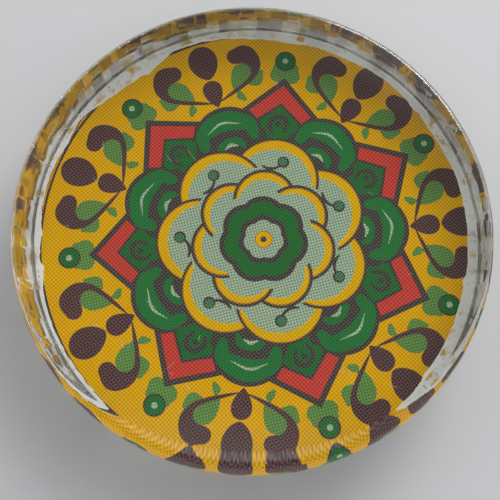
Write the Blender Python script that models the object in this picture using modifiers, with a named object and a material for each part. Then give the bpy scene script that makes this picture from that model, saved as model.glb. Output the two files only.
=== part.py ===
"""A round clear glass tile with a paper print glued under it.

The print lies face up under a film of clear glue, and shows through the glass.
The sheet is cut by hand a little smaller than the glass, so its edge wanders.
Units are metres. +Z is up, and the origin is the middle of the underside.
"""

import math

import bpy

# Driving dimensions
GLASS_DIAMETER = 0.025
GLASS_THICKNESS = 0.0039
TOP_EDGE_RADIUS = 0.0006
WALL_DRAFT = 0.00025           # how far the wall leans in from its top to the foot
FOOT_EDGE_RADIUS = 0.0001
PAPER_THICKNESS = 0.0002
GLUE_THICKNESS = 0.0001
SHEET_GAP = 0.00005            # clearance between neighbouring layers
PRINT_RADIUS = 0.01185         # mean radius of the cut sheet
PRINT_OVAL = 0.00012           # how much its radius grows along Y and shrinks along X
PRINT_WANDER = 0.00012         # how far the cut strays from a true circle
PRINT_OFFSET = 0.00008         # how far off centre the sheet was glued, along X
SNIP_DISTANCE = 0.01140        # one straight snip: its distance from the sheet's middle
SNIP_ANGLE = math.radians(128)
SNIP_REACH = math.radians(60)   # the snip counts only this far to either side
GLUE_RADIUS = 0.01110

# Resolution
TURN_STEPS = 96
EDGE_STEPS = 8
CUT_POINTS = 72

# Heights of the layers, from the underside up
GLUE_BOTTOM = PAPER_THICKNESS + SHEET_GAP
GLASS_BOTTOM = GLUE_BOTTOM + GLUE_THICKNESS + SHEET_GAP
GLASS_TOP = GLASS_BOTTOM + GLASS_THICKNESS


def clear_scene():
    """Remove whatever objects the file was opened with."""
    for obj in list(bpy.data.objects):
        bpy.data.objects.remove(obj, do_unlink=True)


def make_collection(name):
    """Return a new collection linked to the scene."""
    collection = bpy.data.collections.new(name)
    bpy.context.scene.collection.children.link(collection)
    return collection


def make_material(name, color, roughness, transmission=0.0, ior=1.5):
    """Return a Principled material in one plain colour."""
    material = bpy.data.materials.new(name)
    material.use_nodes = True
    shader = material.node_tree.nodes["Principled BSDF"]
    shader.inputs["Base Color"].default_value = (*color, 1.0)
    shader.inputs["Metallic"].default_value = 0.0
    shader.inputs["Roughness"].default_value = roughness
    shader.inputs["Transmission Weight"].default_value = transmission
    shader.inputs["IOR"].default_value = ior
    material.diffuse_color = (*color, 1.0)
    return material


def quarter_round(center_x, center_z, radius, start_angle):
    """Points on a quarter circle that runs clockwise from start_angle."""
    points = []
    for step in range(EDGE_STEPS + 1):
        angle = start_angle - math.pi / 2 * step / EDGE_STEPS
        x = center_x + radius * math.cos(angle)
        z = center_z + radius * math.sin(angle)
        points.append((x, 0.0, z))
    return points


def build_glass_disc(collection, material):
    """The tile: a flat polished disc with a well rounded upper edge.

    The profile runs from the middle of the top, round the upper edge, down the
    slightly leaning wall, round the foot and back to the middle of the underside.
    """
    radius = GLASS_DIAMETER / 2
    profile = [(0.0, 0.0, GLASS_TOP)]
    profile += quarter_round(
        radius - TOP_EDGE_RADIUS, GLASS_TOP - TOP_EDGE_RADIUS, TOP_EDGE_RADIUS, math.pi / 2
    )
    foot_radius = radius - WALL_DRAFT
    profile += quarter_round(
        foot_radius - FOOT_EDGE_RADIUS, GLASS_BOTTOM + FOOT_EDGE_RADIUS, FOOT_EDGE_RADIUS, 0.0
    )
    profile.append((0.0, 0.0, GLASS_BOTTOM))
    edges = [(i, i + 1) for i in range(len(profile) - 1)]
    mesh = bpy.data.meshes.new("glass_disc")
    mesh.from_pydata(profile, edges, [])
    mesh.materials.append(material)
    disc = bpy.data.objects.new("glass_disc", mesh)
    collection.objects.link(disc)
    screw = disc.modifiers.new("Turn", "SCREW")
    screw.axis = "Z"
    screw.steps = TURN_STEPS
    screw.render_steps = TURN_STEPS
    screw.use_merge_vertices = True
    screw.merge_threshold = 0.000001
    screw.use_smooth_shade = True
    return disc


def cut_radius(angle):
    """Radius of the hand-cut sheet at an angle: a wobbly oval with one straight snip."""
    wobble = 0.45 * math.sin(3 * angle + 0.4)
    wobble += 0.30 * math.sin(7 * angle + 1.9)
    wobble += 0.25 * math.sin(12 * angle + 4.1)
    toward_snip = max(math.cos(angle - SNIP_ANGLE), math.cos(SNIP_REACH))
    oval = PRINT_OVAL * math.cos(2 * angle)
    return min(PRINT_RADIUS, SNIP_DISTANCE / toward_snip) + PRINT_WANDER * wobble - oval


def build_flat_sheet(collection, name, material, outline, bottom, thickness):
    """A flat sheet: a filled outline, extruded half its thickness each way."""
    curve = bpy.data.curves.new(name, "CURVE")
    curve.dimensions = "2D"
    curve.fill_mode = "BOTH"
    curve.extrude = thickness / 2
    spline = curve.splines.new("POLY")
    spline.points.add(len(outline) - 1)
    for point, (x, y) in zip(spline.points, outline):
        point.co = (x, y, 0.0, 1.0)
    spline.use_cyclic_u = True
    curve.materials.append(material)
    sheet = bpy.data.objects.new(name, curve)
    sheet.location.z = bottom + thickness / 2
    collection.objects.link(sheet)
    return sheet


def build_glue_film(collection, material):
    """Clear glue, pressed out into a thin round film."""
    turn = 2 * math.pi / CUT_POINTS
    outline = []
    for step in range(CUT_POINTS):
        x = GLUE_RADIUS * math.cos(turn * step)
        y = GLUE_RADIUS * math.sin(turn * step)
        outline.append((x, y))
    return build_flat_sheet(
        collection, "clear_glue_film", material, outline, GLUE_BOTTOM, GLUE_THICKNESS
    )


def build_paper_print(collection, material):
    """The printed paper, cut round by hand and glued slightly off centre."""
    turn = 2 * math.pi / CUT_POINTS
    outline = []
    for step in range(CUT_POINTS):
        angle = turn * step
        x = PRINT_OFFSET + cut_radius(angle) * math.cos(angle)
        y = cut_radius(angle) * math.sin(angle)
        outline.append((x, y))
    return build_flat_sheet(
        collection, "paper_print", material, outline, 0.0, PAPER_THICKNESS
    )


clear_scene()
parts = make_collection("printed_glass_tile")
glass = make_material("clear_glass", (0.93, 0.95, 0.94), 0.02, transmission=1.0, ior=1.52)
glue = make_material("clear_glue", (0.95, 0.94, 0.88), 0.10, transmission=1.0, ior=1.48)
paper = make_material("printed_paper", (0.78, 0.42, 0.03), 0.55)
build_glass_disc(parts, glass)
build_glue_film(parts, glue)
build_paper_print(parts, paper)
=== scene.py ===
"""A round clear glass tile with a hand-cut floral print glued face up beneath it."""

import math

import bpy
import numpy as np
from mathutils import Matrix, Vector
from mathutils.geometry import delaunay_2d_cdt


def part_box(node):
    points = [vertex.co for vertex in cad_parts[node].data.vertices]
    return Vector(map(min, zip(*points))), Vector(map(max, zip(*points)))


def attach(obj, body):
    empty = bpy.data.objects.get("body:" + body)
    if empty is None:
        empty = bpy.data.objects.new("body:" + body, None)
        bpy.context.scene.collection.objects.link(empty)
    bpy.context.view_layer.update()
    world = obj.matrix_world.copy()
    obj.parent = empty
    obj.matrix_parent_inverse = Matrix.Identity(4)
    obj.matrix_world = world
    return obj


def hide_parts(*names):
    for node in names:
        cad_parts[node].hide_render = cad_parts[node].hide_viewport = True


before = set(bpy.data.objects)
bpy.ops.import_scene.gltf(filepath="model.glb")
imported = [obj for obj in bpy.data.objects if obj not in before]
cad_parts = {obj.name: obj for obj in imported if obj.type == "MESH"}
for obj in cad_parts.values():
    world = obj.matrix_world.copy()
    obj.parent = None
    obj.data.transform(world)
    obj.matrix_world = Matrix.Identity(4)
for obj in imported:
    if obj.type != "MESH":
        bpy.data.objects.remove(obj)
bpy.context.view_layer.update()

# ---------------------------------------------------------------------------
# Stand, camera and light. The tile lies on a plain pale board under a large
# soft dome that is brighter on the right, with one soft lamp from that side.
# ---------------------------------------------------------------------------

MM = 0.001


def linear(hex_colour):
    """An sRGB hex colour as linear RGBA: the sRGB curve undone channel by channel."""
    levels = np.array([int(hex_colour[i:i + 2], 16) for i in (1, 3, 5)]) / 255.0
    low = levels / 12.92
    high = ((levels + 0.055) / 1.055) ** 2.4
    return (*np.where(levels <= 0.04045, low, high), 1.0)


def add(tree, kind, settings=None, **inputs):
    """Add one node: settings are its attributes, inputs are values or sockets to link.

    An input goes by its name, or by its place as i0, i1 and so on.
    """
    node = tree.nodes.new(kind)
    for name, value in (settings or {}).items():
        setattr(node, name, value)
    for name, value in inputs.items():
        socket = node.inputs[int(name[1:]) if name[1:].isdigit() else name.replace("_", " ")]
        if isinstance(value, bpy.types.NodeSocket):
            tree.links.new(value, socket)
        else:
            socket.default_value = value
    return node


def new_material(name):
    """An empty node material and its node tree."""
    material = bpy.data.materials.new(name)
    material.use_nodes = True
    material.node_tree.nodes.clear()
    return material, material.node_tree


glass_low, glass_high = (Vector(corner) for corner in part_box("glass_disc"))
paper_low, paper_high = (Vector(corner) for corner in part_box("paper_print"))
disc_radius = (glass_high.x - glass_low.x) / 2
ink_height = paper_high.z

# Painted board, matt: an even pale grey with no pattern of its own.
board_material, tree = new_material("matt_painted_board")
shader = add(tree, "ShaderNodeBsdfPrincipled", Base_Color=linear("#aaaaaa"), Roughness=0.9)
add(tree, "ShaderNodeOutputMaterial", Surface=shader.outputs[0])
board_half = 30 * disc_radius
board_mesh = bpy.data.meshes.new("board")
corners = [(-board_half, -board_half, 0), (board_half, -board_half, 0),
           (board_half, board_half, 0), (-board_half, board_half, 0)]
board_mesh.from_pydata(corners, [], [(0, 1, 2, 3)])
board_mesh.materials.append(board_material)
board = bpy.data.objects.new("board", board_mesh)
bpy.context.scene.collection.objects.link(board)

# The camera stands close above the tile, a little towards its near side.
camera_distance = 3.685 * disc_radius
camera_tilt = math.radians(13.2)
camera_turn = math.radians(-2.9)
camera_roll = math.radians(3.0)
aim = Vector((-0.008 * disc_radius, -0.029 * disc_radius, ink_height))
stand = Vector((
    math.sin(camera_tilt) * math.sin(camera_turn),
    -math.sin(camera_tilt) * math.cos(camera_turn),
    math.cos(camera_tilt),
))
camera_data = bpy.data.cameras.new("camera")
camera_data.lens = 59.04                # millimetres, on the usual 36 mm frame
camera_data.clip_start = 1 * MM
camera_data.clip_end = 10.0
camera = bpy.data.objects.new("camera", camera_data)
look = (-stand).to_track_quat("-Z", "Y").to_matrix().to_4x4()
camera.matrix_world = (
    Matrix.Translation(aim + camera_distance * stand) @ look @ Matrix.Rotation(camera_roll, 4, "Z")
)
bpy.context.scene.collection.objects.link(camera)
bpy.context.scene.camera = camera

# One soft lamp, a broad panel to the right and behind.
lamp_data = bpy.data.lights.new("soft_panel", "AREA")
lamp_data.size = 7 * disc_radius
lamp_data.energy = 0.20
lamp = bpy.data.objects.new("soft_panel", lamp_data)
lamp_distance = 14 * disc_radius
lamp_from = Vector((0.54, 0.84, 0.62)).normalized() * lamp_distance
lamp_turn = lamp_from.to_track_quat("Z", "Y").to_matrix().to_4x4()
lamp.matrix_world = Matrix.Translation(lamp_from) @ lamp_turn
bpy.context.scene.collection.objects.link(lamp)

# The dome is dim overhead, where the tile's flat top would mirror it, and
# bright low down, less on the near side and most of all on the lamp's side. A
# soft fill high on the near side reaches the far wall's foot through the top.
world = bpy.data.worlds.new("soft_dome")
world.use_nodes = True
tree = world.node_tree
tree.nodes.clear()
sky = add(tree, "ShaderNodeTexCoord").outputs["Generated"]
up = add(tree, "ShaderNodeSeparateXYZ", Vector=sky).outputs["Z"]
low_down = add(tree, "ShaderNodeMapRange", {"interpolation_type": "SMOOTHSTEP"},
               Value=up, From_Min=0.93, From_Max=0.60, To_Min=0.18, To_Max=1.27)
behind = add(tree, "ShaderNodeVectorMath", {"operation": "DOT_PRODUCT"}, i0=sky, i1=(0.35, 0.94, 0.0))
shade = add(tree, "ShaderNodeMapRange", {"interpolation_type": "SMOOTHSTEP"},
            Value=behind.outputs["Value"], From_Min=-0.75, From_Max=0.35, To_Min=0.20, To_Max=1.32)
base = add(tree, "ShaderNodeMath", {"operation": "MULTIPLY"}, i0=low_down.outputs[0], i1=shade.outputs[0])
glow_from = Vector((0.54, 0.84, 0.60)).normalized()
near_glow = add(tree, "ShaderNodeVectorMath", {"operation": "DOT_PRODUCT"}, i0=sky, i1=tuple(glow_from))
glow = add(tree, "ShaderNodeMapRange", {"interpolation_type": "SMOOTHSTEP"},
           Value=near_glow.outputs["Value"], From_Min=0.80, From_Max=0.98, To_Min=0.0, To_Max=2.2)
fill_from = Vector((-0.06, -0.48, 0.88)).normalized()
near_fill = add(tree, "ShaderNodeVectorMath", {"operation": "DOT_PRODUCT"}, i0=sky, i1=tuple(fill_from))
fill = add(tree, "ShaderNodeMapRange", {"interpolation_type": "SMOOTHSTEP"},
           Value=near_fill.outputs["Value"], From_Min=0.84, From_Max=0.985, To_Min=0.0, To_Max=1.6)
spots = add(tree, "ShaderNodeMath", {"operation": "ADD"}, i0=glow.outputs[0], i1=fill.outputs[0])
strength = add(tree, "ShaderNodeMath", {"operation": "ADD"}, i0=base.outputs[0], i1=spots.outputs[0])
dome = add(tree, "ShaderNodeBackground", Color=linear("#f6f7fa"), Strength=strength.outputs[0])
add(tree, "ShaderNodeOutputWorld", Surface=dome.outputs[0])
bpy.context.scene.world = world
bpy.context.scene.view_settings.view_transform = "Standard"

# ---------------------------------------------------------------------------
# Glass disc: soda-lime glass, ground round by hand on a wheel, so its wall keeps
# faint upright flats, and then polished on its faces and top edge. The clear glue
# that wets its underside is part of the same body: the two bend light alike.
# ---------------------------------------------------------------------------


def put_mesh(name, points, faces, material):
    """A mesh object from an array of points and one of faces."""
    mesh = bpy.data.meshes.new(name)
    mesh.from_pydata(points, [], faces)
    mesh.materials.append(material)
    mesh.update()
    piece = bpy.data.objects.new(name, mesh)
    bpy.context.scene.collection.objects.link(piece)
    return piece


def turned_faces(rows, columns):
    """Faces of a ring grid that is closed by a point at each pole: fans, quads, fans."""
    grid = 1 + np.arange(rows * columns).reshape(rows, columns)
    beside = np.roll(grid, -1, axis=1)
    quads = np.stack([grid[:-1], grid[1:], beside[1:], beside[:-1]], -1).reshape(-1, 4)
    last = rows * columns + 1
    top = np.stack([np.zeros(columns, int), grid[0], beside[0]], 1)
    bottom = np.stack([np.full(columns, last), beside[-1], grid[-1]], 1)
    return top.tolist() + quads.tolist() + bottom.tolist()


columns = 1080
turn = np.linspace(0, 2 * math.pi, columns, endpoint=False)
foot_edge = 0.10 * MM                   # radius of the rounded foot
# The ink is sunk a hair into the glass body, so that no air shows between them.
glass_floor = ink_height - 0.02 * MM
wall_foot = glass_floor + foot_edge


def top_edge(angle):
    """Radius that the top edge was rounded to by hand: more on the near side than the far one.

    In millimetres, 0.35 + 0.85 ((1 - sin a) / 2) ^ 5.
    """
    return (0.35 + 0.85 * ((1 - np.sin(angle)) / 2) ** 5) * MM


def foot_radius(angle):
    """How far out the wall's foot is: the wall leans in to it, and most of all on the left.

    In millimetres, R - 0.1 - 0.5 ((1 - cos(a - 15 degrees)) / 2) ^ 3.
    """
    return disc_radius - (0.10 + 0.50 * ((1 - np.cos(angle - math.radians(15))) / 2) ** 3) * MM


edge = top_edge(turn)
foot = foot_radius(turn)
# Rows of the profile: out over the top, round its edge, down the wall, under the foot.
out = np.linspace(0.15, 1, 5)[:-1, None]
lean = np.linspace(math.pi / 2, 0, 18)[:, None]
down = np.linspace(0, 1, 35)[1:-1, None]
under = np.linspace(0, math.pi / 2, 7)[:, None]
whole = np.ones(columns)
reach = np.concatenate([
    out * (disc_radius - edge),
    disc_radius - edge + edge * np.cos(lean),
    disc_radius * (1 - down) + foot * down,
    foot - foot_edge * (1 - np.cos(under)),
    0.6 * foot[None],
])
height = np.concatenate([
    glass_high.z * whole * np.ones_like(out),
    glass_high.z - edge + edge * np.sin(lean),
    (glass_high.z - edge) * (1 - down) + wall_foot * down,
    (wall_foot - foot_edge * np.sin(under)) * whole,
    glass_floor * whole[None],
])
# How far up the wall each row is: 0 at the foot, 1 where the rounding starts, 1.4
# where it ends, with 2 for the rows of the top and -2 for the row of the floor.
level = np.concatenate([
    np.full_like(out, 2.0),
    1 + 0.4 * lean / (math.pi / 2),
    1 - down,
    -0.05 * under,
    [[-2.0]],
])


def wheel_marks(turn, height, count, depth, seed):
    """Flats of uneven length, each tilted its own way: depth (p + q s + t h) over one flat.

    s runs from -1 to 1 along a flat and h from -1 to 1 up the wall. Also returns how
    far each flat was polished, from 0 to 1.
    """
    rng = np.random.default_rng(seed)
    start = np.sort((np.arange(count) + rng.uniform(0.1, 0.9, count)) * 2 * math.pi / count)
    which = np.searchsorted(start, turn, side="right") - 1
    length = np.diff(np.append(start, start[0] + 2 * math.pi))[which]
    s = 2 * np.mod(turn - start[which], 2 * math.pi) / length - 1
    p, q, t, polish_and_far_shade = rng.uniform(-1, 1, (4, count))[:, which]
    return depth * (p + q * s + t * height), 0.5 + 0.32 * polish_and_far_shade


# Two rows of flats, one above the other. They fade out just below the widest
# line, and only a trace of the upper row runs on over the rounded edge.
flat_depth = 0.030 * MM
mean_cut = 0.06 * MM
edge_trace = 0.16
row_break = 0.52
upper, upper_polish = wheel_marks(turn, 4 * level - 3, 118, flat_depth, 4)
lower, lower_polish = wheel_marks(turn, 4 * level - 1, 128, flat_depth, 9)
on_edge = edge_trace * np.clip(5 * (1.38 - level), 0, 1)
below_edge = 6 * (0.98 - level)
above_foot = 3 * (level + 0.1)
on_wall = np.clip(np.minimum(above_foot, np.maximum(below_edge, on_edge)), 0, 1)
dip = np.where(level > row_break, upper, lower) * on_wall
reach = reach - mean_cut * on_wall + dip
points = np.stack([reach * np.cos(turn), reach * np.sin(turn), height], -1).reshape(-1, 3)
points = np.concatenate([[[0, 0, glass_high.z]], points, [[0, 0, glass_floor]]])
# The far side is made hazier and darker than the near one: painted shade on the far wall.
polish_and_far_shade = np.where(level > row_break, upper_polish, lower_polish) - 0.20 * np.clip(np.sin(turn), 0, 1)
polish_and_far_shade = np.concatenate([[0.0], polish_and_far_shade.ravel(), [0.0]])
# The ground finish, tinted with painted shade, laps over the rounded edge, further on the far side.
ground = (level[:-1] < 1.08 + 0.12 * np.sin(turn)) & (level[1:] > -1)
ground = np.concatenate([np.zeros(columns, bool), ground.ravel(), np.zeros(columns, bool)])

# Soda-lime glass, polished: colourless on the face and faintly green-grey where the
# eye looks a long way through it, with a mirror gloss.
glass_material, tree = new_material("soda_lime_glass_polished")
clear = add(tree, "ShaderNodeBsdfPrincipled", Base_Color=linear("#fbfcfb"), Roughness=0.0,
            IOR=1.52, Transmission_Weight=1.0)
absorb = add(tree, "ShaderNodeVolumeAbsorption", Color=linear("#cfe3d8"), Density=12.0)
add(tree, "ShaderNodeOutputMaterial", Surface=clear.outputs[0], Volume=absorb.outputs[0])

# Soda-lime glass, ground on a wheel and only half polished: the rough skin hazes
# the wall, some flats more than others, and its dark brownish-grey tint is painted shade.
ground_material, tree = new_material("soda_lime_glass_ground")
# How polished each flat is; the far side's lower value is painted shade.
polished = add(tree, "ShaderNodeAttribute", {"attribute_name": "polish_and_far_shade"})
place = add(tree, "ShaderNodeTexCoord")
grit = add(tree, "ShaderNodeTexNoise", Vector=place.outputs["Object"],
           Scale=1 / (0.30 * MM), Detail=5.0)
tone = add(tree, "ShaderNodeMath", {"operation": "MULTIPLY_ADD"},
           i0=grit.outputs["Fac"], i1=0.35, i2=polished.outputs["Fac"])
# Dark brownish-grey to pale grey tints: painted shade laid over the ground wall's haze.
wall_haze_and_shade = add(tree, "ShaderNodeValToRGB", Fac=tone.outputs[0])
wall_haze_and_shade.color_ramp.elements[0].position = 0.30
wall_haze_and_shade.color_ramp.elements[0].color = linear("#5a4f41")
wall_haze_and_shade.color_ramp.elements[1].position = 0.98
wall_haze_and_shade.color_ramp.elements[1].color = linear("#cfc7b9")
wall_haze_and_shade.color_ramp.elements.new(0.62).color = linear("#8f8575")
clearness = add(tree, "ShaderNodeMapRange", Value=tone.outputs[0],
                From_Min=0.2, From_Max=1.0, To_Min=0.34, To_Max=0.95)
hazy = add(tree, "ShaderNodeBsdfPrincipled", Base_Color=wall_haze_and_shade.outputs[0], Roughness=0.12,
           IOR=1.52, Transmission_Weight=clearness.outputs[0])
add(tree, "ShaderNodeOutputMaterial", Surface=hazy.outputs[0])

glass = put_mesh("polished_glass_disc", points, turned_faces(len(level), columns), glass_material)
glass.data.shade_smooth()
glass.data.materials.append(ground_material)
glass.data.polygons.foreach_set("material_index", ground.astype(int))
glass.data.attributes.new("polish_and_far_shade", "FLOAT", "POINT").data.foreach_set("value", polish_and_far_shade)
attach(glass, "root")
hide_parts("glass_disc")

# ---------------------------------------------------------------------------
# Print: thin paper with a seven-fold flower printed in four inks, cut out by hand
# with scissors, so a bare paper lip shows here and there round the ink. It is
# glued face up to the glass.
# ---------------------------------------------------------------------------

FOLDS = 7
flower_radius = 1.018 * disc_radius
print_centre = disc_radius * np.array([0.050, -0.008])
print_turn = 1.441                      # the way the first ball points
folds = print_turn - 2 * math.pi * np.arange(FOLDS) / FOLDS
between = math.pi / FOLDS

# Ink amounts: cyan, magenta, yellow, black.
INKS = {
    "bare": (0.0, 0.0, 0.0, 0.0),
    "ground_yellow": (0.0, 0.32, 1.0, 0.0),
    "rim_yellow": (0.0, 0.25, 1.0, 0.0),
    "pale_green": (0.60, 0.03, 0.40, 0.0),
    "mid_green": (0.99, 0.22, 0.86, 0.18),
    "leaf_green": (0.86, 0.10, 0.82, 0.04),
    "bright_green": (0.99, 0.14, 0.84, 0.14),
    "bud_green": (0.92, 0.30, 0.64, 0.04),
    "highlight": (0.56, 0.0, 0.42, 0.0),
    "red": (0.0, 0.93, 0.56, 0.09),
    "outline": (0.86, 0.76, 0.36, 0.30),
    "drop_purple": (0.80, 0.82, 0.30, 0.28),
    "brown": (0.32, 0.62, 0.92, 0.06),
}
ink_names = list(INKS)
patches = []


def paint(ink, outline):
    """Lay a closed outline over what is painted already, in the flower's radii, anticlockwise."""
    x, y = np.transpose(outline)
    area = np.sum(x * np.roll(y, -1) - y * np.roll(x, -1))
    patches.append((ink_names.index(ink), np.stack([x, y], 1)[::1 if area > 0 else -1]))


def rotated(outline, angle):
    """The outline turned about the flower's centre."""
    c, s = math.cos(angle), math.sin(angle)
    return outline @ np.array([[c, s], [-s, c]])


def repeat(ink, outline, turn=0.0, mirrored=False):
    """Paint an outline once in every fold, and its mirror image if asked."""
    for fold in folds:
        paint(ink, rotated(outline, fold + turn))
        if mirrored:
            paint(ink, rotated(np.asarray(outline) * [1, -1], fold + turn))


def wavy_ring(radius, wave=0.0, turn=0.0, count=280):
    """A circle that swells by wave in each fold: r = radius (1 + wave cos(n (a - turn)))."""
    a = np.linspace(0, 2 * math.pi, count, endpoint=False)
    r = radius * (1 + wave * np.cos(FOLDS * (a - turn)))
    return np.stack([r * np.cos(a), r * np.sin(a)], 1)


def half_disc(distance, radius, side, count=30):
    """Half a round petal, centred distance out: the half on one side of its own axis."""
    a = side * np.linspace(-0.02, math.pi + 0.02, count)
    return np.stack([distance + radius * np.cos(a), radius * np.sin(a)], 1)


def lapped_petals(layers, turn, side):
    """A ring of round petals, each lapping over the next one on that side.

    All the halves that lie under are painted first, then all that lie over.
    """
    for half in (-side, side):
        for ink, distance, radius in layers:
            repeat(ink, half_disc(distance, radius, half), turn)


def brush(path, widths, per_step=8, cap=7):
    """A brush stroke: a smooth curve through its points, a half-width at each, round ends.

    Between two points it is the Catmull-Rom cubic of the four points around them.
    """
    knots = np.column_stack([path, widths])
    knots = np.concatenate([2 * knots[:1] - knots[1:2], knots, 2 * knots[-1:] - knots[-2:-1]])
    u = np.linspace(0, len(path) - 1, per_step * (len(path) - 1) + 1)
    i = np.minimum(u.astype(int), len(path) - 2)
    f = (u - i)[:, None]
    p0, p1, p2, p3 = (knots[i + k] for k in range(4))
    square = 2 * p0 - 5 * p1 + 4 * p2 - p3
    cube = 3 * (p1 - p2) + p3 - p0
    curve = p1 + f / 2 * (p2 - p0 + f * (square + f * cube))
    line, half = curve[:, :2], np.maximum(curve[:, 2:], 0.0005)
    along = np.gradient(line, axis=0)
    along /= np.linalg.norm(along, axis=1, keepdims=True)
    aside = np.stack([-along[:, 1], along[:, 0]], 1)
    a = np.linspace(0, math.pi, cap)[1:-1, None]
    end = line[-1] + half[-1] * (np.cos(a) * aside[-1] + np.sin(a) * along[-1])
    start = line[0] + half[0] * (-np.cos(a) * aside[0] - np.sin(a) * along[0])
    return np.concatenate([line + half * aside, end, (line - half * aside)[::-1], start])


def drop(neck, length, width, point=1.0, count=40):
    """A teardrop from its neck outward: x = (1 - cos t) / 2, y = sin t sin(t / 2) ^ point."""
    t = np.linspace(0, 2 * math.pi, count, endpoint=False)
    x = neck + length * (1 - np.cos(t)) / 2
    y = width * np.sin(t) * np.abs(np.sin(t / 2)) ** point
    return np.stack([x, y], 1)


def disc(x, y, radius, count=28):
    """A small round dot."""
    a = np.linspace(0, 2 * math.pi, count, endpoint=False)
    return np.stack([x + radius * np.cos(a), y + radius * np.sin(a)], 1)


# The sheet was cut freehand, with one straight snip at the far left, and glued a
# little to the right of the tile's centre.
sheet_shift = 0.08 * MM
mean_radius = 11.85 * MM
wander = 0.12 * MM
snip_distance = 11.40 * MM
snip_angle = math.radians(128)
snip_reach = math.radians(60)


def cut_edge(count=720):
    """The scissor cut as (angle, radius) in metres: an oval with slow wobbles and one straight snip.

    Along the snip, the radius is its distance over the cosine of the angle from it.
    """
    a = np.linspace(0, 2 * math.pi, count, endpoint=False)
    wobble = 0.45 * np.sin(3 * a + 0.4) + 0.30 * np.sin(7 * a + 1.9) + 0.25 * np.sin(12 * a + 4.1)
    snip = snip_distance / np.maximum(np.cos(a - snip_angle), math.cos(snip_reach))
    return a, np.minimum(mean_radius, snip) + wander * (wobble - np.cos(2 * a))


def ragged(a, seed, steps):
    """A rough edge: random heights at random angles, joined by straight runs."""
    rng = np.random.default_rng(seed)
    at = np.sort(rng.uniform(0, 2 * math.pi, steps))
    return np.interp(a, at, rng.uniform(0, 1, steps), period=2 * math.pi)


# The sheet's own edge and, just inside it, where the ink stops.
a, cut = cut_edge()
paper_edge = cut + 0.06 * MM * (ragged(a, 1, 300) - 0.5)
ink_edge = paper_edge - 0.03 * MM - 0.22 * MM * ragged(a, 2, 60) ** 3 - 0.05 * MM * ragged(a, 3, 260)


def in_print(points):
    """Points in metres on the tile, as the flower's own radii."""
    return (points - print_centre) / flower_radius


def around(radius):
    """A closed outline on the tile, from radii at the cut's angles about the sheet's middle."""
    return np.stack([radius * np.cos(a) + sheet_shift, radius * np.sin(a)], 1)


# The ink turned brown along the cut, where glue soaked in.
paint("brown", wavy_ring(1.06, count=360))
paint("ground_yellow", in_print(around(ink_edge - 0.12 * MM * ragged(a, 4, 200) ** 2)))

# Beyond the thin dark line that closes the ground lie the beads of a border, of
# which the scissors left only scraps.
rng = np.random.default_rng(6)
bead_count = 230
bead_inks = ["bare", "bare", "rim_yellow", "rim_yellow", "pale_green", "leaf_green"]
bead_angles = np.linspace(0, 2 * math.pi, bead_count, endpoint=False)
for angle in bead_angles + rng.uniform(-0.02, 0.02, bead_count):
    ink = rng.choice(bead_inks)
    paint(ink, rotated(disc(rng.uniform(0.970, 1.000), 0.0, rng.uniform(0.008, 0.021), 16), angle))
paint("outline", wavy_ring(0.956, count=360))
paint("ground_yellow", wavy_ring(0.945, count=360))

# A leaf and a ball beyond each chevron's point.
repeat("leaf_green",
       brush([(0.735, 0.0), (0.762, 0.022), (0.795, 0.030)], [0.020, 0.044, 0.028]), mirrored=True)
repeat("outline", disc(0.830, 0.006, 0.047))
repeat("mid_green", disc(0.830, 0.006, 0.039))
repeat("highlight", disc(0.831, 0.007, 0.013))

# Leaves on the curled stems.
repeat("leaf_green",
       brush([(0.660, 0.215), (0.705, 0.205), (0.755, 0.190), (0.800, 0.160)],
             [0.004, 0.034, 0.044, 0.006]), mirrored=True)
repeat("leaf_green",
       brush([(0.700, 0.150), (0.722, 0.124), (0.765, 0.112)], [0.006, 0.026, 0.012]), mirrored=True)
repeat("leaf_green",
       brush([(0.626, 0.165), (0.640, 0.185), (0.655, 0.192)], [0.010, 0.018, 0.008]), mirrored=True)

# Curled stems: a thin tail that swells into a round head.
repeat("drop_purple",
       brush([(0.603, 0.265), (0.645, 0.223), (0.697, 0.173), (0.750, 0.140), (0.803, 0.146),
              (0.837, 0.190), (0.822, 0.236)],
             [0.003, 0.008, 0.010, 0.014, 0.030, 0.044, 0.037]), mirrored=True)

# The dark ground of the flower: the chevrons' and crescents' outlines joined.
repeat("outline", [(0.748, 0.0), (0.573, 0.175), (0.40, 0.14), (0.40, -0.14), (0.573, -0.175)])
repeat("outline", disc(0.474, 0.0, 0.155, 60), between)
paint("outline", wavy_ring(0.50))

# Drops between the chevrons.
repeat("drop_purple", drop(0.632, 0.132, 0.056, 0.9), between)
repeat("drop_purple", drop(0.770, 0.165, 0.072, 0.32), between)

# Chevrons with a green chevron and a dark curled eye inside.
repeat("red", [(0.712, 0.0), (0.577, 0.138), (0.543, 0.098), (0.629, 0.0), (0.543, -0.098),
               (0.577, -0.138)])
repeat("mid_green", [(0.614, 0.0), (0.537, 0.084), (0.508, 0.080), (0.492, 0.050), (0.452, 0.044),
                     (0.452, -0.036), (0.486, -0.060), (0.520, -0.090), (0.537, -0.084)])
repeat("outline",
       brush([(0.485, 0.026), (0.520, 0.040), (0.558, 0.020), (0.560, -0.018), (0.530, -0.036),
              (0.496, -0.026)], [0.007, 0.010, 0.011, 0.011, 0.010, 0.007]))
repeat("outline", disc(0.528, 0.003, 0.014))

# Crescents: a big one with a long highlight, over a smaller one.
repeat("bright_green",
       brush([(0.470, 0.114), (0.530, 0.098), (0.562, 0.0), (0.524, -0.100), (0.462, -0.112)],
             [0.022, 0.034, 0.047, 0.034, 0.020]), between)
repeat("bright_green",
       brush([(0.426, 0.056), (0.450, 0.040), (0.458, 0.0), (0.450, -0.040), (0.424, -0.054)],
             [0.010, 0.018, 0.022, 0.018, 0.009]), between)
repeat("highlight",
       brush([(0.524, 0.084), (0.556, 0.012), (0.532, -0.070)], [0.001, 0.006, 0.001]), between)
repeat("highlight",
       brush([(0.436, 0.030), (0.448, 0.002), (0.437, -0.026)], [0.003, 0.008, 0.003]), between)

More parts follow.
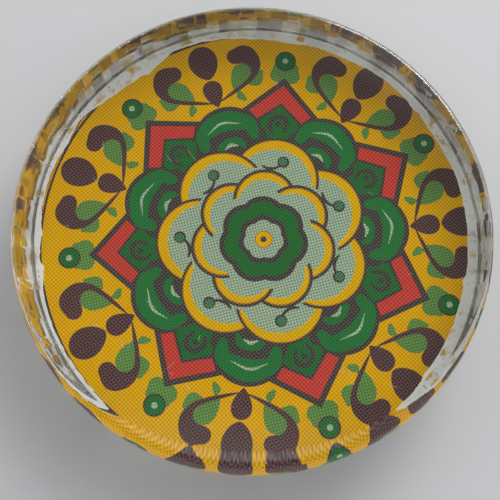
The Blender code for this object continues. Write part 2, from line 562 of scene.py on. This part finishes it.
# Outer rosette: round petals that lap clockwise, each with a curled bud.
lapped_petals([("outline", 0.272, 0.192), ("brown", 0.272, 0.182), ("rim_yellow", 0.272, 0.178),
               ("pale_green", 0.244, 0.166)], math.radians(-3.3), -1)
paint("pale_green", wavy_ring(0.322))
repeat("outline", brush([(0.326, 0.046), (0.318, 0.018), (0.326, -0.014), (0.346, -0.036)],
                        [0.004, 0.008, 0.006, 0.006]))
repeat("outline", disc(0.356, -0.042, 0.026))
repeat("bud_green", disc(0.358, -0.040, 0.019))

# Inner rosette, lapping the other way.
lapped_petals([("outline", 0.176, 0.138), ("brown", 0.176, 0.126), ("rim_yellow", 0.176, 0.121),
               ("pale_green", 0.156, 0.112)], math.radians(5.4), 1)
paint("pale_green", wavy_ring(0.215, 0.03, turn=print_turn))


def lobed_ring(radius, depth, count=210):
    """Round lobes with notches between: r = radius (1 + depth (2 |cos(n a / 2)| ^ 0.8 - 1.3))."""
    a = np.linspace(0, 2 * math.pi, count, endpoint=False)
    lobe = np.abs(np.cos(FOLDS * (a - print_turn - 0.16) / 2)) ** 0.8
    r = radius * (1 + depth * (2 * lobe - 1.3))
    return np.stack([r * np.cos(a), r * np.sin(a)], 1)


# Heart: a lobed green ring between wavy dark lines, and a ringed dot.
paint("outline", lobed_ring(0.186, 0.050))
paint("mid_green", lobed_ring(0.163, 0.065))
paint("outline", lobed_ring(0.105, 0.060))
paint("pale_green", lobed_ring(0.083, 0.060))
paint("brown", wavy_ring(0.038, count=60))
paint("rim_yellow", wavy_ring(0.034, count=60))
paint("outline", wavy_ring(0.013, count=30))

# The edges of the sheet and of the ink come first, and then the patches in turn.
SHEET, INKED = 0, 1
bare = ink_names.index("bare")
outlines = [in_print(around(paper_edge)), in_print(around(ink_edge))]
outlines += [outline for _, outline in patches]
inks = np.array([bare, bare] + [ink for ink, _ in patches])
starts = np.cumsum([0] + [len(outline) for outline in outlines])
faces = [list(range(starts[i], starts[i + 1])) for i in range(len(outlines))]
corners = [Vector(corner) for corner in np.concatenate(outlines)]
points, _, triangles, _, _, covered = delaunay_2d_cdt(corners, [], faces, 1, 1e-6)

# Each triangle takes the ink of the last outline laid over it, but keeps bare
# paper outside the edge of the ink.
inside_ink = np.array([INKED in over for over in covered])
top_patch = np.array([max(over) for over in covered])
on_sheet = np.array([SHEET in over for over in covered])
ink_of = np.where(inside_ink, inks[top_patch], bare)[on_sheet]
triangles = np.array(triangles)[on_sheet]
used, triangles = np.unique(triangles, return_inverse=True)
triangles = triangles.reshape(-1, 3)
points = np.array([tuple(p) for p in points])[used] * flower_radius + print_centre
face_points = np.column_stack([points, np.full(len(points), ink_height)])

# Uncoated paper with four process inks in a rosette screen. The real screen
# has about 156 dots across the tile: 0.16 mm, fine but visible this close. The
# ink spreads in the paper, so a dot is a soft hill: level + level (1 - level)
# (cos x + cos y), times how far that ink's dots stand out.
print_material, tree = new_material("screen_printed_paper")
screen_pitch = 0.160 * MM
place = add(tree, "ShaderNodeTexCoord")
amount = add(tree, "ShaderNodeAttribute", {"attribute_name": "ink"})
split = add(tree, "ShaderNodeSeparateColor", Color=amount.outputs["Color"])
amounts = [split.outputs[0], split.outputs[1], split.outputs[2], amount.outputs["Alpha"]]
# Each ink's screen angle in degrees, how far its dots stand out, and its colour.
screens = [
    (75, 0.75, linear("#2fa8ba")),
    (45, 0.80, linear("#e2304e")),
    (0, 0.5, linear("#ffdc10")),
    (15, 0.3, linear("#40383c")),
]
colour = linear("#fffef8")
for level, (angle, relief, ink_colour) in zip(amounts, screens):
    turned = add(tree, "ShaderNodeMapping", {"vector_type": "POINT"}, Vector=place.outputs["Object"],
                 Rotation=(0, 0, math.radians(angle)), Scale=(2 * math.pi / screen_pitch,) * 3)
    axes = add(tree, "ShaderNodeSeparateXYZ", Vector=turned.outputs[0])
    wave_x = add(tree, "ShaderNodeMath", {"operation": "COSINE"}, i0=axes.outputs[0])
    wave_y = add(tree, "ShaderNodeMath", {"operation": "COSINE"}, i0=axes.outputs[1])
    both = add(tree, "ShaderNodeMath", {"operation": "ADD"}, i0=wave_x.outputs[0], i1=wave_y.outputs[0])
    rest = add(tree, "ShaderNodeMath", {"operation": "SUBTRACT"}, i0=1.0, i1=level)
    room = add(tree, "ShaderNodeMath", {"operation": "MULTIPLY"}, i0=level, i1=rest.outputs[0])
    hill = add(tree, "ShaderNodeMath", {"operation": "MULTIPLY"}, i0=both.outputs[0], i1=relief)
    dot = add(tree, "ShaderNodeMath", {"operation": "MULTIPLY_ADD", "use_clamp": True},
              i0=hill.outputs[0], i1=room.outputs[0], i2=level)
    mixed = add(tree, "ShaderNodeMix", {"data_type": "RGBA", "blend_type": "MULTIPLY"},
                i0=dot.outputs[0], i6=colour, i7=ink_colour)
    colour = mixed.outputs[2]
paper_shader = add(tree, "ShaderNodeBsdfPrincipled", Base_Color=colour, Roughness=0.6,
                   Specular_IOR_Level=0.0)
add(tree, "ShaderNodeOutputMaterial", Surface=paper_shader.outputs[0])

# The sheet is a closed body: the inked face, a white underside and a cut wall.
back_points = face_points - [0, 0, ink_height - paper_low.z]
shift = len(face_points)
sides = np.concatenate([triangles[:, [0, 1]], triangles[:, [1, 2]], triangles[:, [2, 0]]])
seen = set(map(tuple, sides.tolist()))
border = np.array([(p, q) for p, q in seen if (q, p) not in seen])
walls = np.stack([border[:, 1], border[:, 0], border[:, 0] + shift, border[:, 1] + shift], 1)
all_faces = triangles.tolist() + (triangles[:, ::-1] + shift).tolist() + walls.tolist()
sheet = put_mesh("cut_paper_print", np.concatenate([face_points, back_points]), all_faces, print_material)
face_ink = np.zeros((len(all_faces), 4), np.float32)
face_ink[:len(triangles)] = np.array(list(INKS.values()))[ink_of]
ink_layer = sheet.data.attributes.new("ink", "FLOAT_COLOR", "CORNER")
loops = np.empty(len(sheet.data.polygons), int)
sheet.data.polygons.foreach_get("loop_total", loops)
ink_layer.data.foreach_set("color", np.repeat(face_ink, loops, axis=0).ravel())
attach(sheet, "root")
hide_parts("paper_print")

# ---------------------------------------------------------------------------
# Glue: craft glue, clear where it is a film and milky where it was squeezed out
# into a fillet between the paper's edge and the glass's foot.
# ---------------------------------------------------------------------------


def ring_body(inner, outer, low, high):
    """A flat closed ring between two radii given at the cut's angles, its outside leaning in."""
    count = len(a)
    slant = 0.04 * MM
    corners = [(inner, high), (outer, high), (outer - slant, low), (inner, low)]
    loops = [np.column_stack([around(radius), np.full(count, level)]) for radius, level in corners]
    grid = np.arange(4 * count).reshape(4, count)
    beside = np.roll(grid, -1, axis=1)
    quads = np.stack([grid, np.roll(grid, -1, axis=0), np.roll(beside, -1, axis=0), beside], -1)
    return np.concatenate(loops), quads.reshape(-1, 4)


# The glue laps a little under the paper, and stops raggedly at the glass's foot.
overlap = 0.02 * MM
least_width = 0.08 * MM
glue_outer = foot_radius(a) - foot_edge - sheet_shift * np.cos(a) - 0.05 * MM * ragged(a, 5, 90)
glue_inner = np.minimum(paper_edge - overlap, glue_outer - least_width)
glue_low = ink_height - 0.12 * MM
glue_high = ink_height - 0.008 * MM
glue_points, glue_faces = ring_body(glue_inner, glue_outer, glue_low, glue_high)

# Craft glue, dried: a soft milky white, stained yellow by the ink in places, with
# a few brown crumbs in it.
glue_material, tree = new_material("dried_craft_glue")
place = add(tree, "ShaderNodeTexCoord")
clouds = add(tree, "ShaderNodeTexNoise", Vector=place.outputs["Object"],
             Scale=1 / (0.8 * MM), Detail=4.0)
crumbs = add(tree, "ShaderNodeTexNoise", Vector=place.outputs["Object"],
             Scale=1 / (0.12 * MM), Detail=2.0)
milk = add(tree, "ShaderNodeValToRGB", Fac=clouds.outputs["Fac"])
milk.color_ramp.elements[0].position = 0.35
milk.color_ramp.elements[0].color = linear("#dcb85a")
milk.color_ramp.elements[1].position = 0.47
milk.color_ramp.elements[1].color = linear("#ffffff")
crumb = add(tree, "ShaderNodeMapRange", {"interpolation_type": "SMOOTHSTEP"},
            Value=crumbs.outputs["Fac"], From_Min=0.66, From_Max=0.74)
milky = add(tree, "ShaderNodeMix", {"data_type": "RGBA"}, i0=crumb.outputs[0], i6=milk.outputs[0],
            i7=linear("#8b7350"))
soft = add(tree, "ShaderNodeBsdfPrincipled", Base_Color=milky.outputs[2],
           Roughness=0.5, Specular_IOR_Level=0.2)
add(tree, "ShaderNodeOutputMaterial", Surface=soft.outputs[0])
fillet = put_mesh("squeezed_out_glue", glue_points, glue_faces.tolist(), glue_material)
fillet.data.shade_flat()
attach(fillet, "root")
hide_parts("clear_glue_film")

# ---------------------------------------------------------------------------
# Torn fibres: fine paper hairs that the scissors pulled out along the cut and
# that dried into the glue, white, with a few stained by it.
# ---------------------------------------------------------------------------


def tube_faces(count, rows, sides):
    """Faces of many separate tubes of stacked rings: quads along them and a cap at each end."""
    grid = np.arange(count * rows * sides).reshape(count, rows, sides)
    beside = np.roll(grid, -1, axis=2)
    quads = np.stack([grid[:, :-1], grid[:, 1:], beside[:, 1:], beside[:, :-1]], -1).reshape(-1, 4)
    caps = grid[:, 0].tolist() + grid[:, -1, ::-1].tolist()
    return quads.tolist() + caps


def hairs(starts, headings, lengths, bends, radius, z, steps=7, sides=5):
    """Thin tapering tubes on bending paths, all at once, and closed at both ends.

    A hair's heading turns steadily by its bend, so its path is the running sum of
    (cos, sin) of the heading. Each section is a small polygon across the path.
    """
    u = np.linspace(0, 1, steps)
    heading = headings[:, None] + bends[:, None] * u
    stride = (lengths / (steps - 1))[:, None]
    x = starts[:, :1] + np.cumsum(np.cos(heading) * stride, 1)
    y = starts[:, 1:] + np.cumsum(np.sin(heading) * stride, 1)
    around_path = np.linspace(0, 2 * math.pi, sides, endpoint=False)
    thick = radius * np.sqrt(np.clip(1.02 - (2 * u - 1) ** 4, 0.03, 1))[None, :, None]
    across = thick * np.cos(around_path)
    px = x[..., None] - np.sin(heading)[..., None] * across
    py = y[..., None] + np.cos(heading)[..., None] * across
    pz = z + thick * np.sin(around_path) + np.zeros_like(px)
    spots = np.stack([px, py, pz], -1).reshape(-1, 3)
    return spots, tube_faces(len(starts), steps, sides)


rng = np.random.default_rng(12)
hair_count = 80
at = rng.integers(0, len(a), hair_count)
root = around(paper_edge)[at]
outward = a[at] + rng.normal(0, 0.9, hair_count)
hair_points, hair_faces = hairs(
    root,
    outward,
    lengths=rng.uniform(0.12, 0.50, hair_count) * MM,
    bends=rng.normal(0, 0.5, hair_count),
    radius=0.014 * MM,
    z=ink_height,
)

# Cellulose fibre, torn: bright and matt, white to a pale tan.
fibre_material, tree = new_material("torn_paper_fibre")
place = add(tree, "ShaderNodeTexCoord")
stain = add(tree, "ShaderNodeTexNoise", Vector=place.outputs["Object"], Scale=1 / (1.5 * MM), Detail=1.0)
shades = add(tree, "ShaderNodeValToRGB", Fac=stain.outputs["Fac"])
shades.color_ramp.elements[0].position = 0.30
shades.color_ramp.elements[0].color = linear("#cdb98c")
shades.color_ramp.elements[1].position = 0.40
shades.color_ramp.elements[1].color = linear("#f4f2ea")
fibre = add(tree, "ShaderNodeBsdfPrincipled", Base_Color=shades.outputs[0], Roughness=0.8)
add(tree, "ShaderNodeOutputMaterial", Surface=fibre.outputs[0])
fibres = put_mesh("torn_paper_fibres", hair_points, hair_faces, fibre_material)
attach(fibres, "root")

# ---------------------------------------------------------------------------
# Scratches: fine, short and pale, worn into the polished top by handling. Most of
# them run the same way, as the tile was pushed about.
# ---------------------------------------------------------------------------

rng = np.random.default_rng(31)
scratch_count = 34
ring_at = disc_radius * np.sqrt(rng.uniform(0.05, 0.78, scratch_count))
ring_angle = rng.uniform(0, 2 * math.pi, scratch_count)
starts = np.stack([ring_at * np.cos(ring_angle), ring_at * np.sin(ring_angle)], 1)
scratch_points, scratch_faces = hairs(
    starts,
    rng.normal(2.4, 0.7, scratch_count),
    lengths=rng.uniform(0.15, 0.9, scratch_count) * MM,
    bends=rng.normal(0, 0.25, scratch_count),
    radius=0.011 * MM,
    z=glass_high.z - 0.010 * MM,
)

# Scratched glass: a groove full of tiny cracks, which looks matt and pale.
scratch_material, tree = new_material("scratched_glass")
place = add(tree, "ShaderNodeTexCoord")
wear = add(tree, "ShaderNodeTexNoise", Vector=place.outputs["Object"], Scale=1 / (0.2 * MM), Detail=2.0)
faint = add(tree, "ShaderNodeMapRange", Value=wear.outputs["Fac"], From_Min=0.35, From_Max=0.65,
            To_Min=0.25, To_Max=0.80)
worn = add(tree, "ShaderNodeBsdfPrincipled", Base_Color=linear("#f2efe6"), Roughness=0.7)
clear_part = add(tree, "ShaderNodeBsdfTransparent")
blend = add(tree, "ShaderNodeMixShader", i0=faint.outputs[0], i1=clear_part.outputs[0], i2=worn.outputs[0])
add(tree, "ShaderNodeOutputMaterial", Surface=blend.outputs[0])
scratches = put_mesh("fine_scratches", scratch_points, scratch_faces, scratch_material)
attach(scratches, "root")

# ---------------------------------------------------------------------------
# Crumbs: specks of dried glue and lint that cling to the rounded edge, most of
# them at the far left, where glue was wiped off.
# ---------------------------------------------------------------------------


def crumbs_mesh(centres, sizes, seed, rows=5, columns=8):
    """Small lumps, all at once: balls whose radius wanders by a random amount at each point."""
    rng = np.random.default_rng(seed)
    polar = np.linspace(0.12, math.pi - 0.12, rows)[:, None]
    turn = np.linspace(0, 2 * math.pi, columns, endpoint=False)
    rough = rng.uniform(0.65, 1.0, (len(centres), rows, columns)) * sizes[:, None, None]
    x = centres[:, 0, None, None] + rough * np.sin(polar) * np.cos(turn)
    y = centres[:, 1, None, None] + rough * np.sin(polar) * np.sin(turn)
    z = centres[:, 2, None, None] + 0.6 * rough * np.cos(polar) + np.zeros_like(x)
    spots = np.stack([x, y, z], -1).reshape(-1, 3)
    return spots, tube_faces(len(centres), rows, columns)


rng = np.random.default_rng(8)
crumb_count = 46
crumb_angle = np.where(rng.uniform(0, 1, crumb_count) < 0.6, rng.normal(2.3, 0.45, crumb_count),
                       rng.uniform(0, 2 * math.pi, crumb_count))
slope = rng.uniform(0.10, 0.90, crumb_count)
crumb_edge = top_edge(crumb_angle)
crumb_reach = disc_radius - crumb_edge + 0.96 * crumb_edge * np.sin(slope)
crumb_height = glass_high.z - crumb_edge + 0.985 * crumb_edge * np.cos(slope)
crumb_places = np.stack([
    crumb_reach * np.cos(crumb_angle), crumb_reach * np.sin(crumb_angle), crumb_height], 1)
crumb_sizes = rng.uniform(0.02, 0.055, crumb_count) * MM
crumb_points, crumb_faces = crumbs_mesh(crumb_places, crumb_sizes, 15)

# Dried glue and lint: matt, cream to grey.
lint_material, tree = new_material("dried_glue_crumbs")
place = add(tree, "ShaderNodeTexCoord")
mottle = add(tree, "ShaderNodeTexNoise", Vector=place.outputs["Object"], Scale=1 / (2.0 * MM), Detail=1.0)
lint_shades = add(tree, "ShaderNodeValToRGB", Fac=mottle.outputs["Fac"])
lint_shades.color_ramp.elements[0].position = 0.40
lint_shades.color_ramp.elements[0].color = linear("#a3957a")
lint_shades.color_ramp.elements[1].position = 0.60
lint_shades.color_ramp.elements[1].color = linear("#f3f0e6")
lint = add(tree, "ShaderNodeBsdfPrincipled", Base_Color=lint_shades.outputs[0], Roughness=0.7)
add(tree, "ShaderNodeOutputMaterial", Surface=lint.outputs[0])
crumbs_piece = put_mesh("dried_glue_crumbs", crumb_points, crumb_faces, lint_material)
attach(crumbs_piece, "root")
